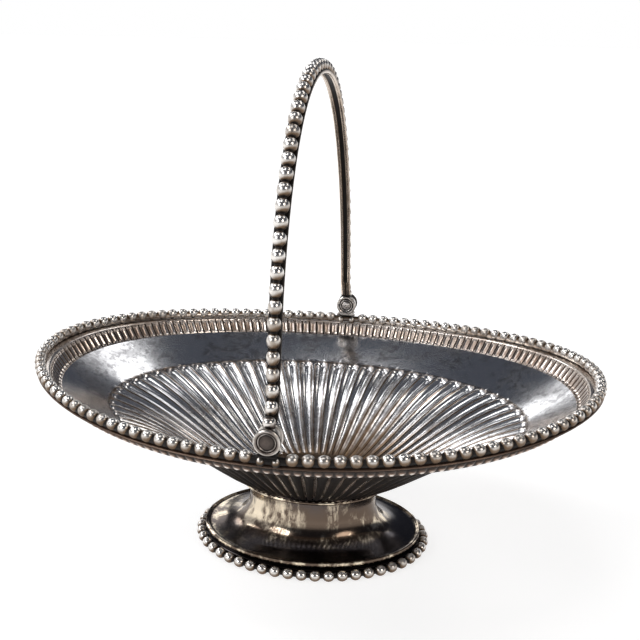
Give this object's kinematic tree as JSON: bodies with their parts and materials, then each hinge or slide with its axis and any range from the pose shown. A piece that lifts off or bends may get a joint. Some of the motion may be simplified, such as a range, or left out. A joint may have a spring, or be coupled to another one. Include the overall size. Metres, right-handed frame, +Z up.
{
  "type": "bread basket",
  "caption": "Oval fluted bread basket on a spreading oval foot, with beaded borders and a beaded swing handle hinged at both sides.",
  "frame": {"origin": "middle of the foot's base, on the surface that the basket stands on", "axes": "+Z up, X along the oval's length, Y along the handle's hinge line"},
  "size_m": [0.3354, 0.2646, 0.2881],
  "materials": {
    "silver_plate": "old polished silver plate, tarnished in the hollows",
    "beaded_silver": "rubbed silver plate with dark tarnish between the beads",
    "dark_silver": "tarnished silver plate"
  },
  "bodies": {
    "basket": {"bowl": "silver_plate", "rim_border_left": "beaded_silver", "rim_border_right": "beaded_silver", "neck_wire": "beaded_silver", "foot": "silver_plate", "foot_base_ring": "dark_silver", "foot_border_left": "beaded_silver", "foot_border_right": "beaded_silver", "hinge_bracket_front": "silver_plate", "hinge_bracket_rear": "silver_plate", "hinge_pin_front": "dark_silver", "hinge_pin_rear": "dark_silver"},
    "handle": {"handle_strap": "silver_plate", "handle_beads": "beaded_silver", "handle_end_front": "silver_plate", "handle_end_rear": "silver_plate"}
  },
  "joints": [
    {"name": "handle_swing", "type": "hinge", "parent": "basket", "child": "handle", "pos_m": [0, 0, 0.1177], "axis": [0, 1, 0], "range_deg": [-87, 87]}
  ]
}
